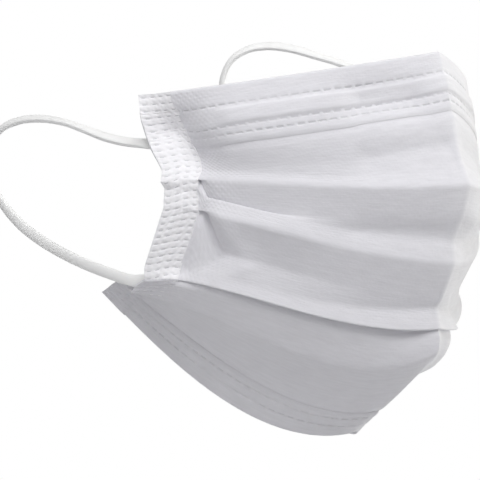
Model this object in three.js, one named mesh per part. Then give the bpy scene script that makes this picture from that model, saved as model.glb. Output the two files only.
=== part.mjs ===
// Disposable three-ply face mask, opened out as it is worn.
//
// Millimetres, +Z up. The wearer faces -Y, X = 0 is the middle of the mask, and the origin is the
// point on the bridge of the nose where the middle of the top edge rests. The rails are alike on both
// sides; the dents and the ear loops are not.
//
// The cloth is one sheet with three pleats. Its shape is held by rails, the lines that run from the
// middle of the mask to its side edge: the top edge, the fold of each pleat, the fold under the chin
// and the bottom edge. A section down the mask joins the rails at one place along them.
import * as THREE from 'three';
import { mergeVertices } from 'three/addons/utils/BufferGeometryUtils.js';

// ---------------------------------------------------------------- driving dimensions
const WALL = 1.0; // cloth wall
const GAP = 0.3; // clearance between the layers of a closed pleat
const SEAM_GAP = 1.3; // clearance between the sheet and the side strips
const LAYER = WALL + GAP; // from one layer to the next in a closed pleat
const PANEL_COLUMNS = 16; // columns of facets from the middle to each side
const BAND_WIDTH = 9.0; // welded strip along each side edge
const BAND_WALL = 1.7; // welded layers of the strip
const BAND_STEP = 0.4; // how far the strip steps back under a pleat, as a share of its layers
const BAND_COLUMNS = 3; // columns of facets across a strip
const HALF_WIDTH = 87.5; // from the middle to the side edge, along the cloth
const RIDGE_ROUND = 4.0; // reach of the rounding of the crease down the middle
const RIDGE_SHARE = 0.6; // and how much of the crease's angle it takes off
const RIDGE_BLEND = 0.12; // layers behind each other turn square to the cloth from this place on
const PLAN_BLEND = 0.05; // a rail's own direction counts fully from this place on
const RAIL_LEAD = 0.37; // length of a rail's leads, as a share of its span
const FLANGE_BEND = 0.012; // how softly a flange bends out, as a share of the half width
const STACKS = [60, 150]; // swings between which a fold's middle layer comes to lie on the outer one
const OPEN_STEP = 0.1; // step round the edge of an open fold
const TURN_BULGE = 0.4; // how far a fold's turn stands out, as a share of the step round it
const TURN_EASE = 0.1; // and how far more, and how far the layers start from it
const FOLD_DROP = 1.6; // drop below a shut fold at which the cloth beneath it comes clear
const FOLD_OPEN = 0.3; // place of that point under an open fold, as a share of the next panel
const NOSE_HEM = 17.0; // depth of the fold-over along the top edge
const CHIN_HEM = 11.0; // depth of the fold-over along the bottom edge
const HEM_LAYER = WALL + 0.5; // from a hem's leg to the sheet inside it
const HEM_TURN = 0.6; // how far a hem's turn stands past the edge
const HEM_CLEAR = 0.4; // the sheet stays behind a hem until this far past its edge
const HEM_RISE = 1.9; // and comes forward over this length
const WIRE = { halfLength: 62, width: 4.4, thickness: 0.9, below: 8.8, forward: 0.05, columns: 12 };
const WIRE_POCKET = 2.9; // half the height of the pocket for it
const WIRE_RELIEF = 1.25; // how far the hem stands out over it
const RELIEF_SLOPE = 0.8; // height over which the hem rises to that
const RELIEF_ENDS = [1.5, 5.0]; // distances past the wire's end between which it dies away
const LOOP = { width: 3.0, thickness: 1.6, corner: 0.45, steps: 40 };
const CORNER_LIMIT = 0.4; // keeps a wall's sharp corners from standing out too far
const COLUMN_EASE = 0.5; // how much closer the columns stand at the middle and the sides

// ---------------------------------------------------------------- tables
// Each rail: middle point (y, z), side point (x, y, z), the plan angle in degrees at which it leaves
// the middle and reaches the side, its climb per mm at those two places, and how far its end stands
// out as a flange, from which share of its length.
const RAILS = {
  //              middle_y middle_z  side_x  side_y  side_z  leave  reach  climb_out climb_in flange from
  top:            [-3.5,     1.0,    -59.2,  57.4,   -11.0,  20,    74,    -0.19,    -0.06,   1.2,   0.955],
  cheek:          [-9.0,   -18.0,    -57.8,  55.0,   -21.5,  25,    80,    -0.15,    -0.02,   4.6,   0.955],
  pleat_1:        [-15.0,  -36.5,    -56.0,  50.8,   -34.5,  28,    71,    -0.11,     0.02,   3.6,   0.875],
  pleat_2:        [-9.0,   -58.5,    -54.7,  50.6,   -41.5,  28,    78,     0.03,     0.18,   2.6,   0.885],
  pleat_3:        [-3.5,   -76.5,    -57.0,  57.4,   -62.0,  36,    78,    -0.10,     0.03,   1.8,   0.90],
  jaw:            [-2.0,   -80.4,    -57.0,  62.9,   -64.5,  54,    76,    -0.34,     0.05,   1.0,   0.90],
  chin_fold:      [-3.0,   -83.4,    -56.0,  66.6,   -66.5,  62,    76,    -0.46,     0.08,   0.4,   0.90],
  under_chin:     [14.0,   -96.5,    -50.5,  78.5,   -62.5,  60,    80,    -0.26,     0.45,   0.0,   0.90],
  bottom:         [28.9,  -106.1,    -46.0,  92.4,   -65.6,  46,    85,    -0.27,     0.72,   0.0,   0.90],
};

// Each pleat: how deep its fold is and the swing of its middle layer, from hanging straight down (0)
// to folded shut (180), both in the middle of the mask and at the side, and the two places along
// the rail, as shares of its length, between which it opens.
const PLEATS = {
  //        depth_middle depth_side swing_middle swing_side opens_from opens_by
  pleat_1: [9.3,         8.0,       19,          180,       0.87,      0.80],
  pleat_2: [11.5,        4.2,       27,          180,       0.87,      0.74],
  pleat_3: [8.5,         8.5,       176,         180,       0.87,      0.80],
};

// The lip above each fold, where the cloth flares out to it: its height and how far its upper line is
// set in, at the middle of the mask and beyond the place where it runs out.
const LIPS = {
  //        height_middle height_side inset_middle inset_side runs_out
  pleat_1: [6.3,          2.5,        3.0,         0.8,       0.50],
  pleat_2: [6.5,          2.5,        1.0,         0.8,       0.58],
  pleat_3: [6.0,          3.0,        1.6,         1.0,       0.70],
};

// Where the cloth is pressed in (or stands out, with a depth below 0). Each runs from one point to
// another, given by place and height, and fades over `wide` mm across it and `ends` mm past its ends.
const DENTS = [
  // from_place from_z  to_place  to_z   depth  wide  ends
  [-0.940,      -20.5,  -0.900,  -28.5,   6.2,   9.0,  5.0], // hollow past the wire's right end
  [-0.28,       -13.0,  -0.12,   -12.2,   2.2,   5.8,  5.0], // hollow under the nose hem
  [0.90,        -14.0,   0.88,   -24.0,   1.8,   6.0,  5.0], // hollow past the wire's left end
  [0.10,        -47.0,   0.45,   -44.0,  -2.2,   6.0,  6.0], // the left of the second panel swells
  [0.50,         -4.0,   0.50,   -24.0,   0.9,  24.0,  7.0], // the left of the top panel lies flatter
  [0.22,        -94.0,   0.20,  -106.0,   5.0,  12.0,  7.0], // the left of the chin falls in
];
const DENT_FADE = 1.6; // power of a dent's fade

// Each ear loop's middle line, from its upper end behind the side strip round to its lower end.
// The right one springs back behind the cheek. The left one stands up and leans in.
const RIGHT_LOOP = [
  [-55.9, 56.5, -24.0], [-56.2, 64.0, -23.3], [-56.0, 75.5, -21.2], [-54.9, 87.5, -18.0],
  [-53.9, 99.5, -15.0], [-53.0, 111.5, -13.2], [-52.4, 123.5, -13.0], [-52.0, 133.0, -14.9],
  [-51.8, 139.0, -19.3], [-51.8, 141.0, -25.5], [-52.0, 137.5, -32.5], [-52.6, 130.5, -39.0],
  [-53.3, 121.5, -44.8], [-54.2, 110.5, -49.8], [-55.2, 98.0, -54.2], [-56.0, 86.0, -57.7],
  [-56.2, 74.5, -60.6], [-55.8, 65.0, -62.7], [-55.4, 60.0, -63.1],
];
const LEFT_LOOP = [
  [55.7, 55.5, -23.5], [56.2, 60.5, -17.0], [56.0, 66.0, -9.0], [54.5, 71.5, -1.0],
  [52.0, 78.5, 5.6], [49.0, 86.0, 9.2], [45.5, 93.5, 12.0], [41.5, 101.5, 14.8],
  [37.5, 108.5, 15.9], [33.5, 114.0, 14.8], [30.5, 118.5, 11.4], [29.0, 121.0, 5.0],
  [29.5, 120.5, -3.5], [31.5, 116.5, -13.5], [35.0, 109.5, -24.0], [39.5, 100.5, -34.5],
  [44.5, 90.5, -44.5], [49.5, 79.5, -53.5], [54.0, 69.0, -60.0], [56.2, 61.5, -62.3],
];

// ---------------------------------------------------------------- small helpers
const UP = new THREE.Vector3(0, 0, 1);
const rad = THREE.MathUtils.degToRad;
const mix = THREE.MathUtils.lerp;
const smooth = (x, from, to) => THREE.MathUtils.smoothstep((x - from) / (to - from), 0, 1);
const moved = (point, ...steps) => {
  const result = point.clone();
  for (const [direction, distance] of steps) result.addScaledVector(direction, distance);
  return result;
};

// ---------------------------------------------------------------- the rails
// A place along a rail is a share of its length, 0 in the middle of the mask and 1 at the side edge.
// It is positive on the wearer's left (+X) and negative on the right.
function railCurve(name) {
  const [middleY, middleZ, sideX, sideY, sideZ, leave, reach, climbOut, climbIn] = RAILS[name];
  const middle = new THREE.Vector3(0, middleY, middleZ);
  const side = new THREE.Vector3(-sideX, sideY, sideZ);
  const lead = RAIL_LEAD * Math.hypot(side.x, side.y - middle.y);
  const towards = (angle, climb) =>
    new THREE.Vector3(Math.cos(rad(angle)), Math.sin(rad(angle)), climb);
  const first = moved(middle, [towards(leave, climbOut), lead]);
  const second = moved(side, [towards(reach, climbIn), -lead]);
  return new THREE.CubicBezierCurve3(middle, first, second, side);
}

const CURVES = Object.fromEntries(Object.keys(RAILS).map((name) => [name, railCurve(name)]));

function railPoint(name, place) {
  const along = Math.abs(place);
  const leave = RAILS[name][5];
  const [flange, from] = RAILS[name].slice(9);
  const point = CURVES[name].getPoint(along);
  const rounding = RIDGE_ROUND * RIDGE_SHARE * Math.min(Math.tan(rad(leave)), 1);
  point.y -= rounding * (1 - Math.exp(-point.x / RIDGE_ROUND));
  if (place < 0) point.x = -point.x;
  const out = FLANGE_BEND * Math.log1p(Math.exp((along - from) / FLANGE_BEND));
  return moved(point, [inward(name, place), (-flange * out) / (1 - from)]);
}

// The level direction square to a rail, pointing to the wearer's face.
function inward(name, place) {
  const along = Math.abs(place);
  const tangent = CURVES[name].getTangent(along);
  const side = place < 0 ? 1 : -1;
  const square = new THREE.Vector3(side * tangent.y, tangent.x, 0);
  square.x *= smooth(along, 0, PLAN_BLEND);
  return square.normalize();
}

// A point of the cloth with every dent pressed into it, level and square to the cloth.
function dented(point, place) {
  let depth = 0;
  for (const [fromPlace, fromZ, toPlace, toZ, deep, wide, ends] of DENTS) {
    const start = new THREE.Vector2(fromPlace * HALF_WIDTH, fromZ);
    const run = new THREE.Vector2(toPlace * HALF_WIDTH, toZ).sub(start);
    const length = run.length();
    run.divideScalar(length);
    const spot = new THREE.Vector2(place * HALF_WIDTH, point.z).sub(start);
    const along = spot.dot(run);
    const past = Math.max(0, -along, along - length) / ends;
    const off = Math.abs(spot.cross(run)) / wide;
    depth += deep * Math.exp(-(Math.hypot(off, past) ** DENT_FADE));
  }
  return moved(point, [inward('pleat_1', place), depth]);
}

// ---------------------------------------------------------------- a section down the mask
// One fold of a pleat: the lip, the fold edge, the middle layer and the start of the next panel.
// `above` is the point that the outer layer comes down from.
function pleatPoints(name, place, above) {
  const along = Math.abs(place);
  const [depthMiddle, depthSide, swingMiddle, swingSide, opensFrom, opensBy] = PLEATS[name];
  const [heightMiddle, heightSide, insetMiddle, insetSide, runsOut] = LIPS[name];
  const edge = railPoint(name, place);
  const face = inward(name, place);
  const shut = smooth(along, opensBy, opensFrom);
  const swing = rad(mix(swingMiddle, swingSide, shut));
  const stacked = smooth(swing, ...STACKS.map(rad));

  const ran = smooth(along, 0, runsOut);
  const lip = moved(edge, [UP, mix(heightMiddle, heightSide, ran)],
    [face, mix(insetMiddle, insetSide, ran)]);

  // A shut pleat lies along the outer layer. `across` points along the middle layer, and `over`
  // from one layer to the next.
  const outer = above.clone().sub(edge).normalize();
  const rise = UP.clone().lerp(outer, stacked).normalize();
  const across = moved(new THREE.Vector3(), [face, Math.sin(swing)], [rise, -Math.cos(swing)]);
  const over = moved(new THREE.Vector3(), [face, -Math.cos(swing)], [rise, -Math.sin(swing)]);
  const depth = mix(depthMiddle, depthSide, shut);
  const step = mix(OPEN_STEP, LAYER, stacked);
  const bulge = TURN_BULGE * step + TURN_EASE;
  const outerTurn = moved(edge, [over, step / 2], [across, -bulge]);
  const layerStart = moved(edge, [over, step], [across, TURN_EASE]);
  const layerEnd = moved(layerStart, [across, depth]);
  const innerTurn = moved(layerEnd, [over, step / 2], [across, bulge]);
  const nextStart = moved(layerEnd, [over, step], [across, -TURN_EASE]);
  const clearOfFold = moved(edge, [face, 2 * LAYER], [UP, -FOLD_DROP]);
  return { lip, edge, outerTurn, layerStart, layerEnd, innerTurn, nextStart, clearOfFold, stacked };
}

// The three pleats of a section, from the top one down.
function allPleats(place) {
  const list = [];
  let above = railPoint('cheek', place);
  for (const name of Object.keys(PLEATS)) {
    const pleat = pleatPoints(name, place, above);
    list.push(pleat);
    above = pleat.clearOfFold;
  }
  return list;
}

// The point at a distance along a line of points, and the way the line runs there.
function walk(points, distance) {
  let left = distance;
  for (let i = 1; i < points.length; i += 1) {
    const run = points[i].clone().sub(points[i - 1]);
    const length = run.length();
    if (left <= length || i === points.length - 1) {
      return { point: moved(points[i - 1], [run, left / length]), run: run.normalize() };
    }
    left -= length;
  }
  throw new Error('an empty line');
}

// The direction square to the cloth, towards the face, for a line that runs down the mask.
function squareTo(name, place, run) {
  const along = CURVES[name].getTangent(Math.abs(place));
  const side = Math.sign(place) * smooth(Math.abs(place), 0, RIDGE_BLEND);
  along.y *= side;
  along.z *= side;
  return along.cross(run).normalize();
}

// A point of the top panel, `down` mm below the top edge and `deep` mm behind the cloth.
function topPanelPoint(place, down, deep) {
  const line = [railPoint('top', place), railPoint('cheek', place), allPleats(place)[0].lip];
  const { point, run } = walk(line, down);
  return moved(point, [squareTo('top', place, run), deep]);
}

// A point of the chin panel, `up` mm from the bottom edge and `deep` mm behind the cloth.
function chinPanelPoint(place, up, deep) {
  const line = ['bottom', 'under_chin', 'chin_fold'].map((name) => railPoint(name, place));
  const { point, run } = walk(line, up);
  return moved(point, [squareTo('bottom', place, run.negate()), deep]);
}

// The sheet between the pleats: folded layers and all, from the nose hem to the chin hem.
function panelSection(place) {
  const pleats = allPleats(place);
  const jaw = railPoint('jaw', place);
  const after = [pleats[1].lip, pleats[2].lip, jaw];
  const section = [
    topPanelPoint(place, HEM_LAYER, HEM_LAYER),
    topPanelPoint(place, WIRE.below - WIRE_POCKET, HEM_LAYER),
    topPanelPoint(place, WIRE.below + WIRE_POCKET, HEM_LAYER),
    topPanelPoint(place, NOSE_HEM + HEM_CLEAR, HEM_LAYER),
    topPanelPoint(place, NOSE_HEM + HEM_CLEAR + HEM_RISE, 0),
  ];
  pleats.forEach((pleat, i) => {
    const open = pleat.nextStart.clone().lerp(after[i], FOLD_OPEN);
    section.push(pleat.lip, pleat.edge, pleat.outerTurn, pleat.layerStart, pleat.layerEnd,
      pleat.innerTurn, pleat.nextStart, open.lerp(pleat.clearOfFold, pleat.stacked));
  });
  section.push(
    jaw,
    railPoint('chin_fold', place),
    railPoint('under_chin', place),
    chinPanelPoint(place, CHIN_HEM + HEM_CLEAR + HEM_RISE, 0),
    chinPanelPoint(place, CHIN_HEM + HEM_CLEAR, HEM_LAYER),
    chinPanelPoint(place, HEM_LAYER, HEM_LAYER),
  );
  return section;
}

// How far the nose hem stands out over the wire.
function wireRelief(place) {
  const past = Math.abs(place) * HALF_WIDTH - WIRE.halfLength;
  return WIRE_RELIEF * (1 - smooth(past, ...RELIEF_ENDS));
}

// The hems are folded over the edge: an outer leg, a turn, and an inner leg behind the sheet.
function noseHemSection(place) {
  const relief = wireRelief(place);
  const above = WIRE.below - WIRE_POCKET;
  const below = WIRE.below + WIRE_POCKET;
  return [
    topPanelPoint(place, NOSE_HEM, 2 * HEM_LAYER),
    topPanelPoint(place, below, 2 * HEM_LAYER),
    topPanelPoint(place, above, 2 * HEM_LAYER),
    topPanelPoint(place, 0, 2 * HEM_LAYER),
    moved(topPanelPoint(place, 0, HEM_LAYER), [UP, HEM_TURN]),
    topPanelPoint(place, 0, 0),
    topPanelPoint(place, above - RELIEF_SLOPE, 0),
    topPanelPoint(place, above, -relief),
    topPanelPoint(place, below, -relief),
    topPanelPoint(place, below + RELIEF_SLOPE, 0),
    topPanelPoint(place, NOSE_HEM, 0),
  ];
}

function chinHemSection(place) {
  return [
    chinPanelPoint(place, CHIN_HEM, 2 * HEM_LAYER),
    chinPanelPoint(place, 0, 2 * HEM_LAYER),
    chinPanelPoint(place, -HEM_TURN, HEM_LAYER),
    chinPanelPoint(place, 0, 0),
    chinPanelPoint(place, CHIN_HEM / 2, 0),
    chinPanelPoint(place, CHIN_HEM, 0),
  ];
}

function wireSection(place) {
  const edges = [WIRE.below - WIRE.width / 2, WIRE.below + WIRE.width / 2];
  return edges.map((down) => topPanelPoint(place, down, -WIRE.forward));
}

// The strip where all the layers are welded flat: no folds are left in it, only their steps.
function bandSection(place) {
  const section = [railPoint('top', place), railPoint('cheek', place)];
  allPleats(place).forEach(({ lip, edge, clearOfFold }) => {
    section.push(lip, edge, edge.clone().lerp(clearOfFold, BAND_STEP));
  });
  section.push(...['jaw', 'chin_fold', 'under_chin', 'bottom'].map((name) => railPoint(name, place)));
  return section;
}

// ---------------------------------------------------------------- cloth as a closed wall
// `lines` is a list of sections, from the wearer's right to the left, each running down the mask.
// The wall stands `outer` mm in front of them and `inner` mm behind.
function wall(lines, outer, inner) {
  const columns = lines.length;
  const rows = lines[0].length;
  const clamp = THREE.MathUtils.clamp;
  const at = (c, r) => lines[clamp(c, 0, columns - 1)][clamp(r, 0, rows - 1)];
  const front = [];
  const back = [];
  for (let c = 0; c < columns; c += 1) {
    for (let r = 0; r < rows; r += 1) {
      const across = at(c + 1, r).clone().sub(at(c - 1, r));
      const facing = (from, to) =>
        across.clone().cross(at(c, to).clone().sub(at(c, from))).normalize();
      const above = facing(Math.max(r - 1, 0), Math.max(r, 1));
      const below = facing(Math.min(r, rows - 2), Math.min(r + 1, rows - 1));
      const normal = above.add(below).multiplyScalar(0.5);
      normal.divideScalar(Math.max(normal.lengthSq(), CORNER_LIMIT));
      front.push(moved(at(c, r), [normal, -outer]));
      back.push(moved(at(c, r), [normal, inner]));
    }
  }
  const points = [...front, ...back];
  const index = [];
  const quad = (a, b, c, d) => index.push(a, b, c, a, c, d);
  const f = (c, r) => c * rows + r;
  const b = (c, r) => columns * rows + c * rows + r;
  for (let c = 0; c + 1 < columns; c += 1) {
    for (let r = 0; r + 1 < rows; r += 1) {
      quad(f(c, r), f(c, r + 1), f(c + 1, r + 1), f(c + 1, r));
      quad(b(c, r), b(c + 1, r), b(c + 1, r + 1), b(c, r + 1));
    }
    quad(f(c, 0), f(c + 1, 0), b(c + 1, 0), b(c, 0));
    quad(f(c, rows - 1), b(c, rows - 1), b(c + 1, rows - 1), f(c + 1, rows - 1));
  }
  for (let r = 0; r + 1 < rows; r += 1) {
    quad(f(0, r), b(0, r), b(0, r + 1), f(0, r + 1));
    quad(f(columns - 1, r), f(columns - 1, r + 1), b(columns - 1, r + 1), b(columns - 1, r));
  }
  const geometry = new THREE.BufferGeometry();
  const position = new Float32Array(points.flatMap((point) => point.toArray()));
  geometry.setAttribute('position', new THREE.BufferAttribute(position, 3));
  geometry.setIndex(index);
  return geometry;
}

// Even places from one share of the rail to another.
function places(from, to, count) {
  const list = [];
  for (let i = 0; i <= count; i += 1) list.push(mix(from, to, i / count));
  return list;
}

// Places from the middle to a side, closer together towards both ends.
function halfPlaces(reach, count) {
  const list = [];
  for (let i = 0; i <= count; i += 1) {
    const even = i / count;
    const eased = (1 - Math.cos(Math.PI * even)) / 2;
    list.push(reach * mix(even, eased, COLUMN_EASE));
  }
  return list;
}

function acrossMask(reach, count) {
  const half = halfPlaces(reach, count);
  return [...half.slice(1).reverse().map((place) => -place), ...half];
}

// ---------------------------------------------------------------- an ear loop
// Flat elastic: a rounded flat section run along its route.
function loopGeometry(route) {
  const points = route.map((point) => new THREE.Vector3(...point));
  const path = new THREE.CatmullRomCurve3(points, false, 'centripetal');
  const w = LOOP.width / 2;
  const t = LOOP.thickness / 2;
  const c = LOOP.corner;
  const outline = new THREE.Shape([
    [t, c - w], [t, w - c], [t - c, w], [c - t, w], [-t, w - c], [-t, c - w], [c - t, -w], [t - c, -w],
  ].map((corner) => new THREE.Vector2(...corner)));
  const geometry = new THREE.ExtrudeGeometry(outline, { steps: LOOP.steps, extrudePath: path });
  geometry.deleteAttribute('normal');
  geometry.deleteAttribute('uv');
  return mergeVertices(geometry);
}

// ---------------------------------------------------------------- the mask
const CLOTH = { color: 0xe3e2e7, roughness: 0.9, metalness: 0, flatShading: true };
const ELASTIC = { color: 0xeeeeee, roughness: 0.8, metalness: 0, flatShading: true };
const COATED = { color: 0xededeb, roughness: 0.4, metalness: 0, flatShading: true };

const group = new THREE.Group();
function add(name, geometry, finish) {
  const mesh = new THREE.Mesh(geometry, new THREE.MeshStandardMaterial(finish));
  mesh.name = name;
  group.add(mesh);
}

// A wall over the sections at some places, dents and all.
const cloth = (section, across, outer, inner) =>
  wall(across.map((place) => section(place).map((point) => dented(point, place))), outer, inner);

const bandStart = (HALF_WIDTH - BAND_WIDTH) / HALF_WIDTH;
const panelEnd = bandStart - SEAM_GAP / HALF_WIDTH;
const half = WALL / 2;
const columns = acrossMask(panelEnd, PANEL_COLUMNS);
add('pleated_panel', cloth(panelSection, columns, half, half), CLOTH);
add('nose_hem', cloth(noseHemSection, columns, half, half), CLOTH);
add('chin_hem', cloth(chinHemSection, columns, half, half), CLOTH);

const wireReach = WIRE.halfLength / HALF_WIDTH;
const wirePlaces = acrossMask(wireReach, WIRE.columns);
add('nose_wire', cloth(wireSection, wirePlaces, WIRE.thickness / 2, WIRE.thickness / 2), COATED);

for (const [side, sign] of [['right', -1], ['left', 1]]) {
  const across = places(bandStart * sign, sign, BAND_COLUMNS);
  if (sign < 0) across.reverse();
  add(`cheek_band_${side}`, cloth(bandSection, across, half, BAND_WALL - half), CLOTH);
}
add('ear_loop_right', loopGeometry(RIGHT_LOOP), ELASTIC);
add('ear_loop_left', loopGeometry(LEFT_LOOP), ELASTIC);

export default group;
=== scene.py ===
"""A disposable three-ply face mask, opened out as it is worn.

The cloth is one sheet with three pleats, held by rails: lines that run from the middle of the mask
to its side edges. Every cloth piece is a fine grid over those rails, with its welds pressed into it
and a wall's thickness behind it. The tables are in millimetres, in the frame's own axes, and the
loops' routes in metres.
"""

import math

import bpy
import numpy as np
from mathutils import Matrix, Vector


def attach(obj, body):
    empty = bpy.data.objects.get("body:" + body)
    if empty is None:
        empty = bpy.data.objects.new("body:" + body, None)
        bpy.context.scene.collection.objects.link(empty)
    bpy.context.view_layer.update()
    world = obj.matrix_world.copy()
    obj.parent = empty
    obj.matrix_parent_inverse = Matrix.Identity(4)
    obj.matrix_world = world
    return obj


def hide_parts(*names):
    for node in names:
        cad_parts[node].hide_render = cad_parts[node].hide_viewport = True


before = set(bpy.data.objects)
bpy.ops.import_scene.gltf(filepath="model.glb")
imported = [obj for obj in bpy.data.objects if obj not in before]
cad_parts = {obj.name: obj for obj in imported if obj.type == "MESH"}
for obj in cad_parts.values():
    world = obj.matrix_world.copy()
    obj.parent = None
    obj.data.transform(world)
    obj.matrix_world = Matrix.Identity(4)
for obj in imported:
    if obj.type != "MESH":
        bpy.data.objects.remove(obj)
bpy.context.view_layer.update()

MM = 0.001              # metres in a millimetre

# ---------------------------------------------------------------- cloth
HALF_WIDTH = 87.5       # from the middle to the side edge, along the cloth
BAND_WIDTH = 9.0        # welded strip along each side edge
RIDGE_ROUND = 4.0       # how far from the middle its crease is rounded
RIDGE_SHARE = 0.6       # and how much of the crease that takes away
RIDGE_TURN = 0.05       # place by which a rail's level direction no longer faces straight back
RAIL_LEAD = 0.37        # length of a rail's leads, as a share of its span
RAIL_STEPS = 1201       # places at which the run of a rail is measured
NOSE_HEM = 17.0         # height of the fold-over along the top edge
CHIN_HEM = 11.0         # and of the one along the bottom edge
PANEL_WALL = 0.30
HEM_WALL = 0.30
LAYER = (0.42, 0.32)    # from one layer to the next in a shut pleat, and where the strip is welded
LAYER_TIGHTENS = 0.82   # place from which the first shrinks to the second
UNDER_HEM = 0.34        # how far the sheet lies behind a hem's outer leg
INNER_LEG = 0.80        # how far a hem's inner leg lies behind its outer one
BAND_FRONT = 0.20       # the strip stands this far in front of the rails
BAND_BACK = 0.60        # and this far behind them
BAND_LAP = 0.4          # how far the strip laps over the sheet
BAND_STEP = (0.1, 0.6)  # how far it steps back under each fold, at its outer and its inner edge
BAND_STEP_FROM = 1.5    # and how far from the outer edge that begins to grow
BAND_OVER = 0.5         # how far it reaches past the ends of the rails, with the hems' turned edges
STRIP_SHADED_BELOW = -62.6      # below this height, under the last fold, the strip faces down into shade: it takes the sheet's darker cloth there as painted shade, and its dashes a painted highlight
FLAP_FROM = 67.0        # but behind this its lower end stands free as a flap, whose dashes keep the darker film
BAND_START = (HALF_WIDTH - BAND_WIDTH) / HALF_WIDTH     # place of the strip's inner edge

# Each rail: middle point (y, z), side point (x, y, z), the plan angle in degrees at which it leaves
# the middle and reaches the side, its climb per mm at those two places, and how far its end stands
# out as a flange, from which place.
RAILS = {
    #             middle_y middle_z side_x side_y side_z leave reach climb_out climb_in flange from
    "top":        (-3.5,     1.0,   -59.2, 57.4,  -11.0, 20,   74,   -0.19,    -0.06,   1.2, 0.955),
    "cheek":      (-9.0,   -18.0,   -57.8, 55.0,  -21.5, 25,   80,   -0.15,    -0.02,   4.6, 0.955),
    "pleat_1":    (-15.0,  -36.5,   -56.0, 50.8,  -34.5, 28,   71,   -0.11,     0.02,   3.6, 0.875),
    "pleat_2":    (-9.0,   -58.5,   -54.7, 50.6,  -41.5, 28,   78,    0.03,     0.18,   2.6, 0.885),
    "pleat_3":    (-3.5,   -76.5,   -57.0, 57.4,  -62.0, 36,   78,   -0.10,     0.03,   1.8, 0.90),
    "jaw":        (-3.4,   -79.0,   -57.0, 62.9,  -64.5, 54,   76,   -0.34,     0.05,   1.0, 0.90),
    "chin_fold":  (-3.0,   -83.4,   -56.0, 66.6,  -66.5, 62,   76,   -0.46,     0.08,   0.4, 0.90),
    "under_chin": (14.0,   -96.5,   -50.5, 78.5,  -62.5, 60,   80,   -0.26,     0.45,   0.0, 0.90),
    "bottom":     (28.9,  -106.1,   -46.0, 92.4,  -65.6, 46,   85,   -0.27,     0.72,   0.0, 0.90),
}
FLANGE_BEND = 0.012     # how softly the flange bends out, as a share of the half width

# Each pleat: how deep its fold is in the middle and at the side, the swing of its middle layer from
# hanging straight down where it is open, the places between which it opens (the last one stays
# shut, so it has no swing), and how far the panel under it is tucked in.
PLEATS = {
    #          depth_middle depth_side swing opens_from opens_by tuck
    "pleat_1": (9.3,        8.0,       19,   0.925,     0.835,   0.0),
    "pleat_2": (11.5,       4.2,       27,   0.908,     0.810,   0.0),
    "pleat_3": (8.5,        8.5,       0,    -1.0,      -2.0,    1.9),
}
TUCK_PLACES = (0.0, 0.12, 0.6, 0.9)     # it grows between the first two and fades between the others

# The lip above each fold, where the cloth flares out to it: its height above the fold and its inset
# from it, in the middle and at the side, and the place where it has run out.
LIPS = {
    #          height_middle height_side inset_middle inset_side runs_out
    "pleat_1": (6.3,         2.5,        3.0,         1.1,       0.50),
    "pleat_2": (6.5,         4.6,        0.6,         1.0,       0.58),
    "pleat_3": (6.0,         3.0,        1.6,         1.0,       0.70),
}
LIP_PRESSED = 0.9       # share of a lip's inset that the strip's weld presses out
LIP_PRESSED_BY = 0.97   # place by which it has done so

# Where the cloth is pressed in (or stands out, with a depth below 0). Each runs from one point to
# another, given by place and height, and fades over `wide` mm across it and `ends` mm past its ends.
# The mask's right side is the one with places below 0.
DENTS = [
    # from_place from_z to_place to_z  depth wide ends
    (-0.925,    -20.5, -0.890, -28.0,  6.2,  9.0, 5.0),     # hollow past the wire's right end
    (-0.880,    -44.0, -0.870, -60.0,  1.9,  4.5, 4.0),     # and below the second pleat
    (-0.840,    -45.0, -0.700, -60.0, -1.3,  4.0, 4.0),     # soft ridge up to the second pleat
    (-0.75,     -31.5, -0.35,  -31.0,  0.5,  3.5, 8.0),     # above the first lip
    (-0.30,     -29.0, -0.06,  -25.5,  1.3,  3.5, 4.0),     # hollow above the first lip's wedge
    (-0.32,     -49.0, -0.06,  -49.5,  0.9,  3.0, 4.0),     # and above the second's
    (-0.78,     -46.5, -0.52,  -49.5, -0.9,  4.5, 6.0),     # the second fold's lip swells out
    (-0.28,     -13.0, -0.12,  -12.2,  2.6,  5.8, 5.0),     # hollow in the nose hem
    (0.90,      -14.0,  0.88,  -24.0,  1.8,  6.0, 5.0),     # the left side's first hollow
    (0.885,     -43.0,  0.875, -58.0,  1.0,  4.0, 4.0),
    (0.840,     -44.0,  0.720, -57.0, -0.7,  4.0, 4.0),
    (0.34,      -30.0,  0.08,  -26.0,  0.9,  4.0, 5.0),
    (0.36,      -49.5,  0.06,  -49.0,  0.6,  3.0, 5.0),
    (0.62,      -22.0,  0.40,  -14.0,  0.8,  7.0, 8.0),
    (0.10,      -47.0,  0.45,  -44.0, -2.2,  6.0, 6.0),     # the left of the second panel swells
    (0.50,       -4.0,  0.50,  -24.0,  0.9, 24.0, 7.0),     # and the first is flatter there
    (0.20,      -82.0,  0.17,  -84.0, -3.0, 12.0, 3.0),     # the left of the jaw stands out
    (0.22,      -94.0,  0.20, -106.0,  5.0, 12.0, 7.0),     # the left of the chin falls in
]

# ---------------------------------------------------------------- welds
# One dash along a hem: how far from one to the next, and its own size and depth.
DASH = {"pitch": 3.0, "length": 2.0, "width": 0.55, "depth": 0.28}
DASH_SPREAD = 0.13      # half the width of a dash's soft border
UNEVEN = 47.0           # from one hard-pressed stretch to the next
UNEVEN_SHARE = 0.26     # half the share of its depth that a dash loses between the two
FILM_PROUD = 0.03       # how far the middle of a dash's film lies above the deepest pressed cloth
FILM_THICKNESS = 0.04
FILM_SIDES = 10
# Lines of pressed dashes along the hems: distance from the edge and the shift of the dashes.
NOSE_LINES = [(5.5, 0.0), (11.9, 0.35), (14.1, 0.85)]
CHIN_LINES = [(4.7, 0.2), (8.2, 0.6)]
SEAM = {"wide": 0.9, "thinner": 0.24}               # a hem's cut edge, pressed thin
PUFF = {"proud": 0.07, "from": 0.2, "by": 1.4}      # the cloth's swelling, off the nearest dashes
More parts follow.
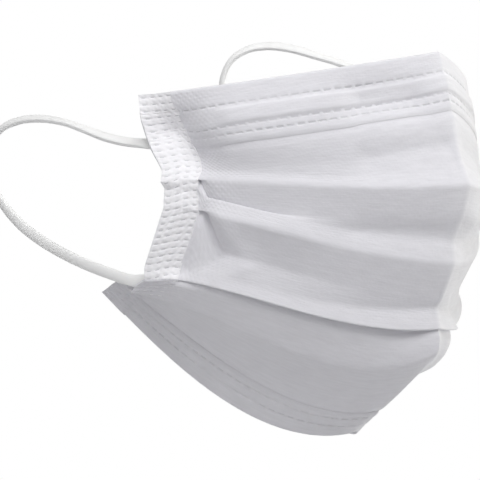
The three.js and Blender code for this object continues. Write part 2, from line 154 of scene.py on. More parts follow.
# Rows of short dashes across the side strips: how many in a row, and about how far apart rows are.
ROW_COUNT = 4
ROW_PITCH = 2.12
ROW_DASH = {"pitch": (BAND_WIDTH + BAND_LAP) / ROW_COUNT, "length": 1.3, "width": 0.5, "depth": 0.24}
ROW_RIB = 0.07              # how far the ribs between the rows stand out
RIB_STARTS = (0.2, 1.2)     # from the strip's inner edge, where they begin and where they are full
GRID_PER_DASH = (10, 8)     # rows and columns of a strip's grid that each of its dashes lies in

# The nose wire: its middle lies `below` the top edge, and it lifts the hem by its `relief`.
WIRE = {"half_length": 62.0, "width": 3.6, "thickness": 0.45, "below": 8.8, "relief": 0.55}
RELIEF_EDGES = (6.1, 7.0, 10.7, 11.5)   # where the relief over the wire rises and falls, down the hem
RELIEF_ENDS = (0.3, 6.0)                # how far past the wire's ends it fades

# ---------------------------------------------------------------- ear loops
LOOP_WIDTH = 3.3
LOOP_THICKNESS = 1.7
LOOP_TAIL = 3.5         # length of each end inside the strip's weld
LOOP_SPREAD = 1.3       # how much wider each end is where it is welded flat
LOOP_FLAT = 0.5         # and its thickness there, as a share
LOOP_LOOSE = (2.0, 9.0) # from its end, where it is still flat and where it has its own shape
LOOP_CORNER = 0.72      # power that squares its round section
LOOP_STEP = 0.22        # from one ring of the mesh to the next
LOOP_SIDES = 40
KNOT_ROWS = 60          # points at which its line is worked out from one point of a route to the next
KNIT_RIBS = 6           # knitted ribs round it
KNIT_RIB = 0.025        # how far they stand out, as a share of its section
STITCH = 0.006          # and its stitches
STITCH_PITCH = 1.1
# How far its flat side leans, in degrees, at shares of its length from its upper end.
LOOP_TWIST = [(0.0, 42), (0.22, 80), (0.50, 20), (0.65, 0), (1.0, 0)]
# Middle lines, in metres: the right loop springs back behind the cheek, the left stands and leans in.
RIGHT_LOOP = [
    (-0.0559, 0.0565, -0.0240), (-0.0562, 0.0640, -0.0233), (-0.0560, 0.0755, -0.0212),
    (-0.0549, 0.0875, -0.0180), (-0.0539, 0.0995, -0.0150), (-0.0530, 0.1115, -0.0132),
    (-0.0524, 0.1235, -0.0130), (-0.0520, 0.1330, -0.0149), (-0.0518, 0.1390, -0.0193),
    (-0.0518, 0.1410, -0.0255), (-0.0520, 0.1375, -0.0325), (-0.0526, 0.1305, -0.0390),
    (-0.0533, 0.1215, -0.0448), (-0.0542, 0.1105, -0.0498), (-0.0552, 0.0980, -0.0542),
    (-0.0560, 0.0860, -0.0577), (-0.0562, 0.0745, -0.0606), (-0.0558, 0.0650, -0.0627),
    (-0.0554, 0.0600, -0.0631),
]
LEFT_LOOP = [
    (0.0557, 0.0555, -0.0235), (0.0562, 0.0605, -0.0170), (0.0560, 0.0660, -0.0090),
    (0.0545, 0.0715, -0.0010), (0.0520, 0.0785, 0.0056), (0.0490, 0.0860, 0.0092),
    (0.0455, 0.0935, 0.0120), (0.0415, 0.1015, 0.0148), (0.0375, 0.1085, 0.0159),
    (0.0335, 0.1140, 0.0148), (0.0305, 0.1185, 0.0114), (0.0290, 0.1210, 0.0050),
    (0.0295, 0.1205, -0.0035), (0.0315, 0.1165, -0.0135), (0.0350, 0.1095, -0.0240),
    (0.0395, 0.1005, -0.0345), (0.0445, 0.0905, -0.0445), (0.0495, 0.0795, -0.0535),
    (0.0540, 0.0690, -0.0600), (0.0562, 0.0615, -0.0623),
]


# ================================================================ camera, floor and light
def make_camera():
    """A long lens, level with the mask and off its right cheek."""
    aim = Vector((-0.038, 0.038, -0.0515))
    azimuth, elevation, distance = math.radians(-42), math.radians(-2), 0.65
    back = Vector((
        math.sin(azimuth) * math.cos(elevation),
        -math.cos(azimuth) * math.cos(elevation),
        math.sin(elevation),
    ))
    data = bpy.data.cameras.new("camera")
    data.lens = 172.2
    data.sensor_width = 36.0
    camera = bpy.data.objects.new("camera", data)
    bpy.context.scene.collection.objects.link(camera)
    camera.location = aim + back * distance
    camera.rotation_mode = "QUATERNION"
    camera.rotation_quaternion = (-back).to_track_quat("-Z", "Y")
    bpy.context.scene.camera = camera


def to_linear(hex_colour):
    """An sRGB hex colour as linear RGBA."""
    parts = [int(hex_colour[i:i + 2], 16) / 255 for i in (1, 3, 5)]
    return (*[p / 12.92 if p <= 0.04045 else ((p + 0.055) / 1.055) ** 2.4 for p in parts], 1.0)


def add(tree, kind, inputs=None, **settings):
    """Adds a node. An input is set to a value, or linked where the value is another's socket."""
    made = tree.nodes.new(kind)
    for name, value in settings.items():
        setattr(made, name, value)
    for name, value in (inputs or {}).items():
        socket = made.inputs[name]
        if isinstance(value, bpy.types.NodeSocket):
            tree.links.new(value, socket)
        else:
            socket.default_value = value
    return made


# Soft lamps: where each stands round the mask, in degrees from its front towards the wearer's left
# and above level, how far off in metres, its side in metres, its power and its colour.
LAMPS = {
    #                  azimuth height distance side watts colour
    "left_softbox":    (60,     6,    0.90,    0.5, 5.2, "#FFFFF7"),
    "camera_softbox":  (-36,   48,    0.90,    0.5, 5.4, "#FFFFFF"),
    "right_softbox":   (-80,   25,    0.90,    0.5, 1.4, "#FFFFFF"),
    "top_softbox":     (-42,   85,    0.90,    0.5, 2.0, "#FFFFFF"),
}
# The fill's strength from above and from below, where a pale floor sends light back, and its colour.
FILL_ABOVE = 0.05
FILL_BELOW = 0.56
FILL_COLOUR = "#FAFAFC"


def make_lamp(name, azimuth, height, distance, side, watts, colour):
    middle = Vector((0.0, 0.04, -0.05))
    turned, rise = math.radians(azimuth), math.radians(height)
    towards = Vector((
        math.sin(turned) * math.cos(rise), -math.cos(turned) * math.cos(rise), math.sin(rise)))
    data = bpy.data.lights.new(name, "AREA")
    data.shape = "SQUARE"
    data.size = side
    data.energy = watts
    data.color = to_linear(colour)[:3]
    lamp = bpy.data.objects.new(name, data)
    bpy.context.scene.collection.objects.link(lamp)
    lamp.location = middle + towards * distance
    lamp.rotation_mode = "QUATERNION"
    lamp.rotation_quaternion = (-towards).to_track_quat("-Z", "Y")


def make_surroundings():
    """White behind the mask, and a soft fill that comes mostly from below."""
    world = bpy.data.worlds.new("studio_surroundings")
    bpy.context.scene.world = world
    world.use_nodes = True
    tree = world.node_tree
    backdrop = tree.nodes["Background"]
    backdrop.inputs["Color"].default_value = to_linear("#FFFFFF")
    direction = add(tree, "ShaderNodeTexCoord").outputs["Generated"]
    rise = add(tree, "ShaderNodeSeparateXYZ", {"Vector": direction}).outputs["Z"]
    strength = add(tree, "ShaderNodeMapRange", {
        "Value": rise, "From Min": -0.35, "From Max": 0.35,
        "To Min": FILL_BELOW, "To Max": FILL_ABOVE}, interpolation_type="SMOOTHSTEP")
    fill = add(tree, "ShaderNodeBackground", {
        "Color": to_linear(FILL_COLOUR), "Strength": strength.outputs["Result"]})
    seen = add(tree, "ShaderNodeLightPath").outputs["Is Camera Ray"]
    surroundings = add(tree, "ShaderNodeMixShader", {"Fac": seen})
    tree.links.new(fill.outputs["Background"], surroundings.inputs[1])
    tree.links.new(backdrop.outputs["Background"], surroundings.inputs[2])
    tree.links.new(surroundings.outputs["Shader"], tree.nodes["World Output"].inputs["Surface"])


def make_studio():
    """White surroundings, a pale floor below the mask and soft lamps round it."""
    bpy.context.scene.view_settings.view_transform = "Standard"
    make_surroundings()
    bpy.ops.mesh.primitive_circle_add(
        vertices=64, radius=0.6, fill_type="NGON", location=(0, 0.05, -0.24))
    floor = bpy.context.object
    floor.name = "floor"
    finish = bpy.data.materials.new("pale_painted_floor")
    finish.use_nodes = True
    shader = finish.node_tree.nodes["Principled BSDF"]
    shader.inputs["Base Color"].default_value = to_linear("#DEDEE0")
    shader.inputs["Roughness"].default_value = 0.9
    floor.data.materials.append(finish)
    for name, facts in LAMPS.items():
        make_lamp(name, *facts)


# ================================================================ materials
def new_material(name):
    """A named material, its node tree and its shader."""
    material = bpy.data.materials.new(name)
    material.use_nodes = True
    tree = material.node_tree
    return material, tree, tree.nodes["Principled BSDF"]


# The spunbond's patterns in repeats per metre, along the roll and across it: streaks of about 7 by
# 1 mm, and drawn fibres of about 4 by 0.6 mm, which is coarser than real ones so that they show.
STREAKS = (150.0, 900.0, 1.0)
FIBRES = (260.0, 1700.0, 1.0)
BONDS = 240.0                   # the wave scale that puts the bond points 1.3 mm apart
BOND_TURN = 42                  # how far their two lattices are turned off the roll, in degrees
BONDS_SHOW = (0.062, 0.076)     # metres from the middle over which they come to show
BOND_SHARE = (0.10, 0.70)       # and their share of the relief before that and after it


def make_spunbond(name, darker, lighter):
    """Spunbond polypropylene, bonded by a hot patterned roll.

    Matt and faintly lavender white, with drawn fibres lying along the roll. Next to the side welds,
    where the plies lie tight together, the roll's lattice of bond points shows.
    """
    material, tree, shader = new_material(name)
    shader.inputs["Roughness"].default_value = 0.82
    shader.inputs["IOR"].default_value = 1.49
    shader.inputs["Specular IOR Level"].default_value = 0.25
    shader.inputs["Sheen Weight"].default_value = 0.15
    shader.inputs["Sheen Roughness"].default_value = 0.5
    shader.inputs["Subsurface Weight"].default_value = 0.25
    shader.inputs["Subsurface Radius"].default_value = (1.0, 1.0, 1.0)
    shader.inputs["Subsurface Scale"].default_value = 0.001

    flow = add(tree, "ShaderNodeUVMap", uv_map="cloth").outputs["UV"]
    streaks = add(tree, "ShaderNodeTexNoise", {
        "Vector": add(tree, "ShaderNodeMapping", {
            "Vector": flow, "Scale": STREAKS}).outputs["Vector"],
        "Scale": 1.0, "Detail": 4.0, "Roughness": 0.65})
    tone = add(tree, "ShaderNodeValToRGB", {"Fac": streaks.outputs["Fac"]})
    tone.color_ramp.elements[0].position = 0.35
    tone.color_ramp.elements[0].color = to_linear(darker)
    tone.color_ramp.elements[1].position = 0.65
    tone.color_ramp.elements[1].color = to_linear(lighter)
    tree.links.new(tone.outputs["Color"], shader.inputs["Base Color"])

    fibres = add(tree, "ShaderNodeTexNoise", {
        "Vector": add(tree, "ShaderNodeMapping", {
            "Vector": flow, "Scale": FIBRES}).outputs["Vector"],
        "Scale": 1.0, "Detail": 4.0, "Roughness": 0.6})
    lattice = [
        add(tree, "ShaderNodeTexWave", {
            "Vector": add(tree, "ShaderNodeMapping", {
                "Vector": flow, "Rotation": (0, 0, math.radians(degrees))}).outputs["Vector"],
            "Scale": BONDS, "Distortion": 0.0}).outputs["Fac"]
        for degrees in (BOND_TURN, -BOND_TURN)
    ]
    points = add(tree, "ShaderNodeMath", operation="MULTIPLY")
    tree.links.new(lattice[0], points.inputs[0])
    tree.links.new(lattice[1], points.inputs[1])
    from_middle = add(tree, "ShaderNodeMath", {
        0: add(tree, "ShaderNodeSeparateXYZ", {"Vector": flow}).outputs["X"]}, operation="ABSOLUTE")
    shows = add(tree, "ShaderNodeMapRange", {
        "Value": from_middle.outputs["Value"],
        "From Min": BONDS_SHOW[0], "From Max": BONDS_SHOW[1],
        "To Min": BOND_SHARE[0], "To Max": BOND_SHARE[1]}, interpolation_type="SMOOTHSTEP")
    height = add(tree, "ShaderNodeMix", {"Factor": shows.outputs["Result"]}, data_type="FLOAT")
    tree.links.new(fibres.outputs["Fac"], height.inputs[2])
    tree.links.new(points.outputs["Value"], height.inputs[3])
    bump = add(tree, "ShaderNodeBump", {
        "Height": height.outputs[0], "Distance": 0.00016, "Strength": 0.8})
    tree.links.new(bump.outputs["Normal"], shader.inputs["Normal"])
    return material


def make_weld_film(name, colour):
    """The same plastic melted to a film by an ultrasonic welding roll: smoother than the cloth."""
    material, _, shader = new_material(name)
    shader.inputs["Base Color"].default_value = to_linear(colour)
    shader.inputs["Roughness"].default_value = 0.42
    shader.inputs["IOR"].default_value = 1.49
    return material


def make_elastic():
    """Knitted polyamide and elastane: a soft white cord."""
    material, _, shader = new_material("knitted_elastic")
    shader.inputs["Base Color"].default_value = to_linear("#F7F7F6")
    shader.inputs["Roughness"].default_value = 0.85
    shader.inputs["Sheen Weight"].default_value = 0.2
    shader.inputs["Subsurface Weight"].default_value = 0.3
    shader.inputs["Subsurface Radius"].default_value = (1.0, 1.0, 1.0)
    shader.inputs["Subsurface Scale"].default_value = 0.001
    return material


def make_wire_coating():
    """Soft iron wire in extruded white polyethylene: smooth and slightly waxy."""
    material, _, shader = new_material("extruded_polyethylene")
    shader.inputs["Base Color"].default_value = to_linear("#EDEDEB")
    shader.inputs["Roughness"].default_value = 0.4
    return material


# ================================================================ lines of the cloth
# Rows worked out down a panel, down a shorter stretch and down a short one, and round a turn.
PANEL_ROWS = 24
STRETCH_ROWS = 12
SHORT_ROWS = 8
TURN_ROWS = 8
CORNER_REACH = 0.7      # how hard a rounded corner turns, as a share of its reach
DENT_EDGE = 1.6         # power that gives a dent a flat middle


def unit(vectors):
    return vectors / np.maximum(np.linalg.norm(vectors, axis=-1, keepdims=True), 1e-9)


def smooth(value, start, end):
    """0 before the start, 1 past the end and an even S between them."""
    share = np.clip((value - start) / (end - start), 0, 1)
    return share * share * (3 - 2 * share)


def mix(first, second, share):
    return first + (second - first) * share


def column(values):
    """One number per place, ready to multiply one point per place."""
    return np.asarray(values, dtype=float)[..., None]


def heading(angle, climb):
    """A plan direction at an angle in degrees from across the face, with its climb per mm."""
    angle = math.radians(angle)
    return np.array((math.cos(angle), math.sin(angle), climb))


def curve(start, first, second, end, t):
    """Points of the cubic curve from start to end that sets off and arrives by two leads."""
    return ((1 - t) ** 3 * start + 3 * (1 - t) ** 2 * t * first
            + 3 * (1 - t) * t ** 2 * second + t ** 3 * end)


def rail(name, place):
    """A rail's points, and the level direction square to it towards the face.

    A place is a share of the half width: 0 in the middle, -1 at the right edge and 1 at the left.
    """
    middle_y, middle_z, side_x, side_y, side_z, leave, reach, climb_out, climb_in, flange, start \
        = RAILS[name]
    along = np.abs(place)
    middle = np.array((0.0, middle_y, middle_z))
    side = np.array((-side_x, side_y, side_z))
    lead = RAIL_LEAD * math.hypot(side[0], side[1] - middle[1])
    first = middle + lead * heading(leave, climb_out)
    second = side - lead * heading(reach, climb_in)
    t = column(along)
    point = curve(middle, first, second, side, t)
    run = unit((1 - t) ** 2 * (first - middle) + 2 * (1 - t) * t * (second - first)
               + t ** 2 * (side - second))
    rounding = RIDGE_ROUND * min(math.tan(math.radians(leave)), 1.0) * RIDGE_SHARE
    point[:, 1] -= rounding * (1 - np.exp(-point[:, 0] / RIDGE_ROUND))
    sign = np.where(place < 0, -1.0, 1.0)
    point[:, 0] *= sign
    off_middle = smooth(along, 0, RIDGE_TURN)
    inward = unit(np.stack([-sign * run[:, 1] * off_middle, run[:, 0], 0 * along], axis=1))
    out = FLANGE_BEND * np.logaddexp(0, (along - start) / FLANGE_BEND)
    return point - inward * column(flange * out / (1 - start)), inward


def through(points, counts, start=None):
    """Rows of a smooth line through points, which sets off in the direction `start` if it is given.

    Each point is one per place, and the counts are rows per span.
    """
    points = np.stack(points)
    spans = np.diff(points, axis=0)
    apart = np.maximum(np.linalg.norm(spans, axis=-1, keepdims=True), 1e-6)
    slopes = spans / apart
    before, after = apart[:-1], apart[1:]
    inner = (slopes[:-1] * after + slopes[1:] * before) / (before + after)
    first = slopes[:1] if start is None else start[None]
    tangents = np.concatenate([first, inner, slopes[-1:]])
    rows = []
    for i, count in enumerate(counts):
        for step in range(count):
            t = step / count
            rows.append(
                (2 * t ** 3 - 3 * t ** 2 + 1) * points[i]
                + (t ** 3 - 2 * t ** 2 + t) * apart[i] * tangents[i]
                + (3 * t ** 2 - 2 * t ** 3) * points[i + 1]
                + (t ** 3 - t ** 2) * apart[i] * tangents[i + 1])
    rows.append(points[-1])
    return np.stack(rows)


def turn(start, leaving, end, arriving, reach, count):
    """Rows round a fold, from the end of one layer to the start of the next."""
    first = start + leaving * reach
    second = end - arriving * reach
    return np.stack([curve(start, first, second, end, step / count) for step in range(1, count)])


def lengths(line):
    """Distances down a line of rows, from its first row, at every place."""
    steps = np.linalg.norm(np.diff(line, axis=0), axis=-1)
    return np.concatenate([np.zeros((1, line.shape[1])), np.cumsum(steps, axis=0)])


def along_line(line, distance):
    """Points at distances down a line: one distance a row, or one for each row and place."""
    run = lengths(line)
    distance = np.asarray(distance, dtype=float)
    if distance.ndim == 1:
        distance = np.repeat(distance[:, None], line.shape[1], axis=1)
    result = np.empty((*distance.shape, 3))
    for place in range(line.shape[1]):
        for axis in range(3):
            result[:, place, axis] = np.interp(
                distance[:, place], run[:, place], line[:, place, axis])
    return result


def between(line, start, end, count):
    """Even rows of a line from a distance past its start to a distance before its end."""
    length = lengths(line)[-1]
    share = np.linspace(0, 1, count)[:, None]
    return along_line(line, mix(start + 0 * length, length - end, share))


def facing(grid):
    """The direction square to a grid of cloth, towards the face where the grid runs down it."""
    def run(axis):
        steps = unit(np.diff(grid, axis=axis))
        first = np.take(steps, [0], axis=axis)
        last = np.take(steps, [-1], axis=axis)
        return np.concatenate([first, steps], axis=axis) + np.concatenate([steps, last], axis=axis)
    return unit(np.cross(run(1), run(0)))


def skin(line, distance, deep):
    """Rows at distances along a line, each set back by its own depth."""
    grid = along_line(line, distance)
    return grid + facing(grid) * (deep + 0 * distance)[:, None, None]


def dented(line, place):
    """Rows of cloth with every dent pressed into them, level and square to the cloth."""
    inward = rail("pleat_1", place)[1]
    spot = np.stack([np.broadcast_to(place * HALF_WIDTH, line.shape[:2]), line[..., 2]], axis=-1)
    depth = np.zeros(line.shape[:2])
    for from_place, from_z, to_place, to_z, deep, wide, ends in DENTS:
        start = np.array((from_place * HALF_WIDTH, from_z))
        run = np.array((to_place * HALF_WIDTH, to_z)) - start
        length = np.linalg.norm(run)
        along = (spot - start) @ (run / length)
        past = np.maximum(0, np.maximum(-along, along - length)) / ends
        off = np.abs((spot - start) @ np.array((-run[1], run[0])) / length) / wide
        depth += deep * np.exp(-np.hypot(off, past) ** DENT_EDGE)
    return line + inward * column(depth)


def joined(first, second, reach):
    """Two lines that meet, the corner between them rounded over a reach before and after it."""
    before = between(first, 0, reach, PANEL_ROWS)
    after = between(second, reach, 0, PANEL_ROWS)
    leaving, arriving = unit(before[-1] - before[-2]), unit(after[1] - after[0])
    rounded = turn(before[-1], leaving, after[0], arriving, column(reach) * CORNER_REACH, TURN_ROWS)
    return np.concatenate([before, rounded, after])


def bent(line, to, reach):
    """A line carried on straight to a point, its corner rounded over a reach before and after."""
    return joined(line, through([line[-1], to], [SHORT_ROWS]), reach)


# ================================================================ the folded sheet
# How far before and after a fold its turn starts, and how hard it turns, where it is open or shut.
FOLD_CUT = (0.8, 0.32)
FOLD_REACH = (0.5, 0.42)
VALLEY_CUT = (0.9, 0.32)
VALLEY_REACH = (0.55, 0.42)
LIP_REACH = (1.2, 1.0)  # rounding of the corner at a lip, in the middle and where it has run out
LAID_ROWS = 13          # rows of a pleat's middle layer, before it is cut at its turns
FOLD_LINE_ROWS = 40     # rows of the line to a fold; its last two give the way it leaves
LEAD_ROWS = 10          # rows at the start of the panel after a fold
PANEL_LINE_ROWS = 60    # rows of a panel's line, before the sheet's own are taken from it
OPEN_LEAD = 0.4         # share of the way to its lip that the panel after an open pleat runs straight
CHIN_ROUND = 0.8        # how far before and after the chin's fold the cloth turns
STEP_DROP = 0.9         # a strip's step comes back this far below its fold
# The sheet's grid: from one column to the next, the rows down each panel and round the chin, and
# the rows under each hem, by their distance from the edge.
SHEET_COLUMNS = 0.8
SHEET_ROWS = 26
CHIN_ROWS = 38
UNDER_NOSE = [1.0, 3.0, 5.6, 8.8, 12.0, 15.0, 16.8, 17.0, 17.2, 17.5, 17.9, 18.4, 19.0]
UNDER_CHIN = [14.5, 13.6, 12.9, 12.4, 12.0, 11.6, 11.3, 11.1, 10.9, 9.0, 6.0, 3.0, 1.0]
HEM_CLEARED = (-0.1, 2.6)   # from a hem's cut edge, where the sheet comes out from under it
UP = np.array((0.0, 0.0, 1.0))


def pleat(name, place):
    """One pleat's lip, fold, opening and swing, at places across the mask."""
    along = np.abs(place)
    depth_middle, depth_side, swing, opens_from, opens_by, tuck = PLEATS[name]
    height_middle, height_side, inset_middle, inset_side, runs_out = LIPS[name]
    edge, inward = rail(name, place)
    shut = smooth(along, opens_by, opens_from)
    ran = smooth(along, 0, runs_out)
    flattened = 1 - LIP_PRESSED * smooth(along, BAND_START, LIP_PRESSED_BY)
    lip = edge + UP * column(mix(height_middle, height_side, ran)) \
        + inward * column(mix(inset_middle, inset_side, ran) * flattened)
    swing = math.radians(swing)
    tucked = smooth(along, *TUCK_PLACES[:2]) * (1 - smooth(along, *TUCK_PLACES[2:]))
    return {
        "lip": lip, "edge": edge, "inward": inward, "shut": shut,
        "reach": mix(*LIP_REACH, ran),
        "depth": mix(depth_middle, depth_side, shut),
        "tuck": tuck * tucked,
        "across": inward * math.sin(swing) - UP * math.cos(swing),
        "layer": mix(*LAYER, smooth(along, LAYER_TIGHTENS, BAND_START)),
    }


def all_pleats(place):
    return [pleat(name, place) for name in PLEATS]


def top_line(place, pleats):
    """The line from the top edge down to the first fold."""
    first = pleats[0]
    points = [rail("top", place)[0], rail("cheek", place)[0], first["lip"]]
    return bent(through(points, [PANEL_ROWS] * 2), first["edge"], first["reach"])


def fold_back(line, fold, onward):
    """A pleat's middle layer, back from the fold at a line's end, and the panel that starts there.

    Where it is shut, both lie against the line's own layer. Where it is open, the middle layer
    hangs straight and the panel sets off towards the point `onward`.
    """
    share = np.linspace(0, 1, LAID_ROWS)[:, None]
    length = lengths(line)[-1]
    outer = along_line(line, length - fold["depth"] * (1 - share))
    inward = facing(outer)
    shut_middle = (outer + inward * column(fold["layer"]))[::-1]
    shut_next = outer + inward * column(2 * fold["layer"] + fold["tuck"] * share)
    open_middle = fold["edge"] + fold["across"] * column(fold["depth"] * share)
    open_next = mix(open_middle[-1], onward, OPEN_LEAD * share[..., None])
    shut = column(fold["shut"])
    return mix(open_middle, shut_middle, shut), mix(open_next, shut_next, shut)


def folded(line, fold, onward):
    """Rows of a pleat from the end of a line round to the next panel, and that panel's first line."""
    middle, following = fold_back(line, fold, onward)
    shut = fold["shut"]
    cut, valley = mix(*FOLD_CUT, shut), mix(*VALLEY_CUT, shut)
    before = between(line, 0, cut, FOLD_LINE_ROWS)
    layer = between(middle, cut, valley, STRETCH_ROWS)
    after = between(following, valley, 0 * valley, LEAD_ROWS)

    def way(rows, i, j):
        return unit(rows[j] - rows[i])

    fold_turn = turn(before[-1], way(before, -2, -1), layer[0], way(layer, 0, 1),
                     column(mix(*FOLD_REACH, shut)), TURN_ROWS - 1)
    valley_turn = turn(layer[-1], way(layer, -2, -1), after[0], way(after, 0, 1),
                       column(mix(*VALLEY_REACH, shut)), TURN_ROWS)
    return cut, np.concatenate([fold_turn, layer, valley_turn]), after


def next_panel(rows, following, leaving=None):
    """Rows carried on from their last one, down to the next fold."""
    line = through([rows[-1], following["lip"]], [STRETCH_ROWS], start=leaving)
    return bent(np.concatenate([rows[:-1], line]), following["edge"], following["reach"])


def round_chin(rows, place, leaving=None):
    """Rows carried on from their last one, past the jaw and round the chin to the bottom edge."""
    jaw, fold, under, bottom = [
        rail(name, place)[0] for name in ("jaw", "chin_fold", "under_chin", "bottom")]
    line = through([rows[-1], jaw, fold], [SHORT_ROWS] * 2, start=leaving)
    below = through([fold, under, bottom], [PANEL_ROWS] * 2)
    return joined(np.concatenate([rows[:-1], line]), below, CHIN_ROUND + 0 * place)


def sheet_lines(place):
    """Every stretch of the sheet in turn, as lines of rows: panel, pleat, panel and so on."""
    pleats = all_pleats(place)
    stretches = []
    line = top_line(place, pleats)
    for fold, following in zip(pleats, [*pleats[1:], None]):
        onward = following["lip"] if following else rail("jaw", place)[0]
        cut, turned, after = folded(line, fold, onward)
        stretches += [between(line, 0, cut, PANEL_LINE_ROWS), turned]
        leaving = unit(after[-1] - after[-2])
        if following:
            line = next_panel(after, following, leaving)
        else:
            line = round_chin(after, place, leaving)
    stretches.append(line)
    return [dented(stretch, place) for stretch in stretches]


def nose_line(place):
    """The line down from the top edge."""
    return dented(top_line(place, all_pleats(place)), place)


def chin_line(place):
    """The line round the chin, from the bottom edge up."""
    return sheet_lines(place)[-1][::-1]


def under_hem(from_edge, hem):
    """How far the sheet is set back, at distances from its edge: it lies behind the hem there."""
    before, past = HEM_CLEARED
    return UNDER_HEM * (1 - smooth(from_edge, hem + before, hem + past))


def sheet_grid(place):
    """The whole folded sheet, from under the nose hem to under the chin hem."""
    panel, turned, *others, chin = sheet_lines(place)
    down = np.array(UNDER_NOSE)
    pieces = [
        skin(panel, down, under_hem(down, NOSE_HEM)),
        between(panel, down[-1], 0, SHEET_ROWS)[1:],
        turned,
    ]
    for panel, turned in zip(others[::2], others[1::2]):
        pieces += [between(panel, 0, 0, SHEET_ROWS)[1:], turned]
    up = np.array(UNDER_CHIN)
    pieces.append(between(chin, 0, up[0], CHIN_ROWS)[1:-1])
    low = along_line(chin, lengths(chin)[-1] - up[:, None])
    pieces.append(low + facing(low) * under_hem(up, CHIN_HEM)[:, None, None])
    return np.concatenate(pieces)


# ================================================================ measures along the cloth
def run_table(name):
    """Places along a rail, and each one's distance from the middle of the mask."""
    place = np.linspace(-1, 1, RAIL_STEPS)
    steps = np.linalg.norm(np.diff(rail(name, place)[0], axis=0), axis=1)
    run = np.concatenate([[0.0], np.cumsum(steps)])
    return place, run - np.interp(0.0, place, run)


def distance_at(name, place):
    """How far places are from the middle, along a rail."""
    return np.interp(place, *run_table(name))


def place_at(name, distance):
    """The places at distances from the middle, along a rail."""
    place, run = run_table(name)
    return np.interp(distance, run, place)


def even_places(name, start, end, step):
    """Places from start to end whose columns stand a step apart along a rail."""
    first, last = distance_at(name, np.array([start, end]))
    return place_at(name, np.linspace(first, last, round(abs(last - first) / step) + 1))


# Rows across a line of dashes, from its middle, and how near the other rows come to them, as a
# share of their own step.
ACROSS_DASH = np.array([-0.46, -0.34, -0.22, -0.08, 0.08, 0.22, 0.34, 0.46])
NEAREST = 0.3


def fine_rows(lines, length, coarse, extra=()):
    """Distances from a hem's edge, close together at its lines of dashes and coarser elsewhere."""
    close = [at + ACROSS_DASH for at, _ in lines] + [np.asarray(extra, dtype=float)]
    close = np.unique(np.round(np.concatenate(close), 4))
    even = np.linspace(0, length, round(length / coarse) + 1)
    apart = [d for d in even
             if np.abs(close - d).min() > NEAREST * coarse or d in (0.0, length)]
    return np.unique(np.concatenate([close, apart]))


# ================================================================ closed meshes
def finish_mesh(name, points, faces, material, flow, flow_name, sharp=50):
    """A mesh from points in mm, with the material's own measures as its UV map."""
    mesh = bpy.data.meshes.new(name)
    mesh.from_pydata((points * MM).tolist(), [], faces)
    corners = np.empty(len(mesh.loops), dtype=np.int32)
    mesh.loops.foreach_get("vertex_index", corners)
    layer = mesh.uv_layers.new(name=flow_name)
    layer.uv.foreach_set("vector", (flow[corners] * MM).ravel())
    mesh.polygons.foreach_set("use_smooth", np.ones(len(mesh.polygons), dtype=bool))
    mesh.set_sharp_from_angle(angle=math.radians(sharp))
    mesh.materials.append(material)
    piece = bpy.data.objects.new(name, mesh)
    bpy.context.scene.collection.objects.link(piece)
    return piece


def wall(name, grid, front, back, flow, material):
    """Thickens a grid of cloth to a closed wall, `front` before it and `back` behind it."""
    rows, columns = grid.shape[:2]
    inward = facing(grid)
    front = np.broadcast_to(front, (rows, columns))
    back = np.broadcast_to(back, (rows, columns))
    outer = grid - inward * column(front)
    inner = grid + inward * column(back)
    points = np.concatenate([outer.reshape(-1, 3), inner.reshape(-1, 3)])
    n = np.arange(rows * columns).reshape(rows, columns)
    b = n + rows * columns
    quads = [
        (n[:-1, :-1], n[1:, :-1], n[1:, 1:], n[:-1, 1:]),
        (b[:-1, :-1], b[:-1, 1:], b[1:, 1:], b[1:, :-1]),
        (n[0, :-1], n[0, 1:], b[0, 1:], b[0, :-1]),
        (n[-1, :-1], b[-1, :-1], b[-1, 1:], n[-1, 1:]),
        (n[:-1, 0], b[:-1, 0], b[1:, 0], n[1:, 0]),
        (n[:-1, -1], n[1:, -1], b[1:, -1], b[:-1, -1]),
    ]
    faces = np.concatenate([np.stack([c.ravel() for c in quad], axis=1) for quad in quads])
    return finish_mesh(name, points, faces.tolist(), material,
                       np.concatenate([flow.reshape(-1, 2)] * 2), "cloth")


def measures(grid, along):
    """UV measures of a grid: the distance along the mask and each row's mean distance down it."""
    down = lengths(grid).mean(axis=1, keepdims=True)
    return np.stack(np.broadcast_arrays(along, down), axis=-1)


def pressed(along, away, dash, shift=0.0):
    """How deep a line of dashes is pressed, at distances along the line and away from it."""
    place = (along / dash["pitch"] + shift) % 1.0 - 0.5
    past_end = np.abs(place) * dash["pitch"] - dash["length"] / 2
    past_side = np.abs(away) - dash["width"] / 2
    return dash["depth"] * (1 - smooth(past_end, -DASH_SPREAD, DASH_SPREAD)) \
        * (1 - smooth(past_side, -DASH_SPREAD, DASH_SPREAD))


def hem_press(along, away, lines):
    """Lines of dashes along a hem, pressed unevenly: the roll bites harder in some places."""
    return sum(
        pressed(along, away - at, DASH, shift)
        * (1 - UNEVEN_SHARE + UNEVEN_SHARE * np.sin(2 * math.pi * along / UNEVEN + at))
        for at, shift in lines)


# ================================================================ hems, strips and wire
# The hems' grids: from one column to the next, from one row to the next away from the dashes, and
# how many rows their inner legs have.
NOSE_GRID = {"columns": 0.25, "rows": 0.7, "inner": 12}
CHIN_GRID = {"columns": 0.27, "rows": 0.5, "inner": 9}
ROWS_AT_WIRE = (6.3, 6.7, 7.1, 10.6, 11.0, 11.4)
# Across the wire, as shares of its width, and how thick it is there, as shares of its thickness.
WIRE_ACROSS = np.array([-0.5, -0.42, 0.0, 0.42, 0.5])
WIRE_THICK = np.array([0.55, 1.0, 1.0, 1.0, 0.55])
WIRE_COLUMNS = 160
WIRE_FORWARD = 0.12     # how far in front of the hem's outer leg its middle lies


